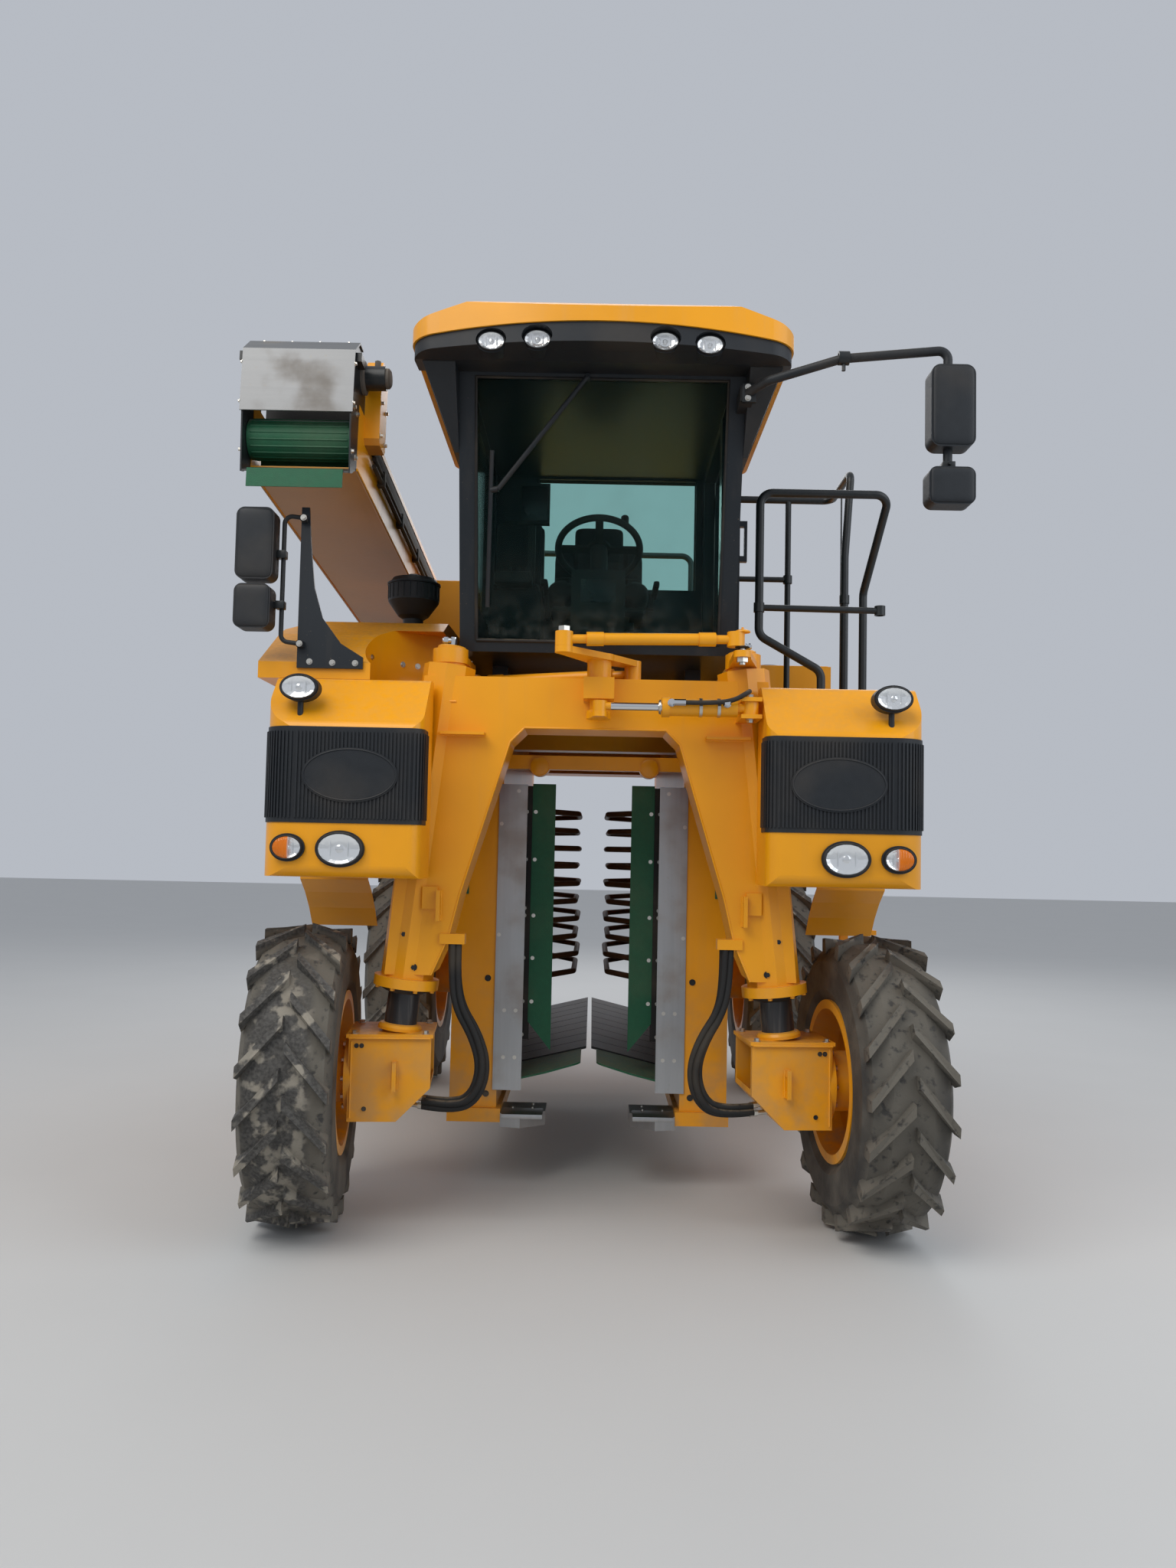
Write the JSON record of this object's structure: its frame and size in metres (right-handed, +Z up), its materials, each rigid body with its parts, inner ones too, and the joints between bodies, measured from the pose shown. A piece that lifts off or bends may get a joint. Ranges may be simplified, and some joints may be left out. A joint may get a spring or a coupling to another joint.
{
  "type": "grape harvester",
  "caption": "Self-propelled straddling grape harvester with a tall portal frame, front cab, picking tunnel, steered front wheels and a folded side discharge arm.",
  "frame": {"origin": "on the ground under the middle of the machine", "axes": "+Z up, -Y towards the front of the machine, +X towards the left side as the driver sits"},
  "size_m": [2.811, 5.4221, 3.6252],
  "materials": {
    "yellow_paint": "satin",
    "slate_paint": "satin",
    "black_paint": "satin",
    "stainless": "brushed",
    "green_rubber": "matt",
    "brown_rod": "satin",
    "black_rubber": "matt",
    "dark_plastic": "matt",
    "lamp_glass": "clear",
    "cast_metal": "rough",
    "tinted_glass": "clear",
    "seat_cloth": "woven",
    "mirror": "polished",
    "chrome": "polished",
    "tyre": "worn"
  },
  "bodies": {
    "chassis": {"bonnet": "yellow_paint", "cab_frame": "slate_paint", "cab_glass": "tinted_glass", "cab_roof": "yellow_paint", "elevators": "yellow_paint", "engine_block": "cast_metal", "fan_housings": "yellow_paint", "grilles": "dark_plastic", "guard_rails": "black_paint", "head_rubbers": "green_rubber", "head_steel": "stainless", "head_walls": "yellow_paint", "hoods": "yellow_paint", "ladder": "yellow_paint", "lamp_bodies": "dark_plastic", "lamp_lenses": "lamp_glass", "leg_hose_left": "black_rubber", "leg_hose_right": "black_rubber", "main_frame": "yellow_paint", "mirror_fin": "slate_paint", "mirror_glass": "mirror", "mirrors": "dark_plastic", "mudguards": "yellow_paint", "platform": "yellow_paint", "portal": "yellow_paint", "precleaner": "dark_plastic", "rear_cowl": "yellow_paint", "scale_plates": "black_rubber", "seat": "seat_cloth", "shaker_rods": "brown_rod", "side_tanks": "yellow_paint", "steering_barrel": "yellow_paint", "steering_column": "dark_plastic", "visor": "dark_plastic", "wiper": "dark_plastic"},
    "knuckle_left": {"knuckle_left": "yellow_paint"},
    "knuckle_right": {"knuckle_right": "yellow_paint"},
    "wheel_front_left": {"tyre_front_left": "tyre", "rim_front_left": "yellow_paint"},
    "wheel_front_right": {"tyre_front_right": "tyre", "rim_front_right": "yellow_paint"},
    "wheel_rear_left": {"tyre_rear_left": "tyre", "rim_rear_left": "yellow_paint"},
    "wheel_rear_right": {"tyre_rear_right": "tyre", "rim_rear_right": "yellow_paint"},
    "lever": {"steering_lever": "yellow_paint"},
    "tie_rod_left": {"tie_rod_left": "yellow_paint"},
    "tie_rod_right": {"tie_rod_right": "yellow_paint"},
    "steering_rod": {"steering_rod": "chrome"},
    "door": {"cab_door": "slate_paint", "door_glass": "tinted_glass"},
    "turret": {"arm_turret": "yellow_paint"},
    "arm": {"arm_boom": "yellow_paint", "arm_head": "black_paint", "arm_hood": "stainless", "arm_belt": "green_rubber"},
    "lift_barrel": {"lift_barrel": "yellow_paint"},
    "lift_rod": {"lift_rod": "chrome"},
    "fan_left": {"fan_left": "dark_plastic"},
    "fan_right": {"fan_right": "dark_plastic"}
  },
  "joints": [
    {"name": "steer_left", "type": "hinge", "parent": "chassis", "child": "knuckle_left", "pos_m": [0.768, -2.16, 0.72], "axis": [-0.1097, 0, 0.994], "range_deg": [-27, 17], "deforming": ["leg_hose_left"]},
    {"name": "steer_right", "type": "hinge", "parent": "chassis", "child": "knuckle_right", "pos_m": [-0.768, -2.16, 0.72], "axis": [0.1097, 0, 0.994], "range_deg": [-25.88, 16.48], "deforming": ["leg_hose_right"]},
    {"name": "lever_turn", "type": "hinge", "parent": "chassis", "child": "lever", "pos_m": [0.011, -2.31, 2.255], "axis": [0, 0, 1], "range_deg": [-49.1, 31.1]},
    {"name": "tie_rod_left_swing", "type": "hinge", "parent": "lever", "child": "tie_rod_left", "pos_m": [-0.126, -2.5, 2.2803], "axis": [0, 0, 1], "range_deg": [-25.74, 40.58]},
    {"name": "tie_rod_right_swing", "type": "hinge", "parent": "lever", "child": "tie_rod_right", "pos_m": [0.148, -2.17, 2.1987], "axis": [0, 0, 1], "range_deg": [-26.37, 41.59]},
    {"name": "steering_rod_slide", "type": "slide", "parent": "chassis", "child": "steering_rod", "axis": [1, 0, 0], "range_m": [-0.073, 0.0464]},
    {"name": "front_left_roll", "type": "hinge", "parent": "knuckle_left", "child": "wheel_front_left", "pos_m": [1.13432, -2.07917, 0.59337], "axis": [0.9962, 0.0866, -0.0004], "continuous": true},
    {"name": "front_right_roll", "type": "hinge", "parent": "knuckle_right", "child": "wheel_front_right", "pos_m": [-1.14299, -2.14121, 0.59433], "axis": [0.9962, 0.0866, 0.0004], "continuous": true},
    {"name": "rear_left_roll", "type": "hinge", "parent": "chassis", "child": "wheel_rear_left", "pos_m": [1.17, 0.89, 0.71], "axis": [1, 0, 0], "continuous": true},
    {"name": "rear_right_roll", "type": "hinge", "parent": "chassis", "child": "wheel_rear_right", "pos_m": [-1.17, 0.89, 0.71], "axis": [1, 0, 0], "continuous": true},
    {"name": "door_swing", "type": "hinge", "parent": "chassis", "child": "door", "pos_m": [0.621, -1.076, 2.39], "axis": [0, 0, 1], "range_deg": [0, 45]},
    {"name": "arm_slew", "type": "hinge", "parent": "chassis", "child": "turret", "pos_m": [-1.175, 1.3, 2.195], "axis": [0, 0, 1], "range_deg": [-110, 0]},
    {"name": "arm_lift", "type": "hinge", "parent": "turret", "child": "arm", "pos_m": [-1.175, 1.25, 2.79], "axis": [-1, 0, 0], "range_deg": [0, 30]},
    {"name": "lift_barrel_swing", "type": "hinge", "parent": "turret", "child": "lift_barrel", "pos_m": [-1.175, 1.06, 2.44], "axis": [-1, 0, 0], "range_deg": [-0.5, 30.28]},
    {"name": "lift_rod_slide", "type": "slide", "parent": "lift_barrel", "child": "lift_rod", "axis": [0, -0.9497, 0.3132], "range_m": [-0.001, 0.2077]},
    {"name": "fan_left_spin", "type": "hinge", "parent": "chassis", "child": "fan_left", "pos_m": [0.765, 1.88, 1.25], "axis": [1, 0, 0], "continuous": true},
    {"name": "fan_right_spin", "type": "hinge", "parent": "chassis", "child": "fan_right", "pos_m": [-0.765, 1.88, 1.25], "axis": [1, 0, 0], "continuous": true}
  ],
  "couplings": [
    {"joint": "steer_right", "follows": "steer_left", "ratio": 0.94},
    {"joint": "lever_turn", "follows": "steer_left", "ratio": 1.8},
    {"joint": "tie_rod_left_swing", "follows": "steer_left", "ratio": -1.4846},
    {"joint": "tie_rod_right_swing", "follows": "steer_left", "ratio": -1.522},
    {"joint": "steering_rod_slide", "follows": "steer_left", "m_per_rad": 0.15288},
    {"joint": "lift_barrel_swing", "follows": "arm_lift", "ratio": 0.99264},
    {"joint": "lift_rod_slide", "follows": "arm_lift", "m_per_rad": 0.39478}
  ]
}
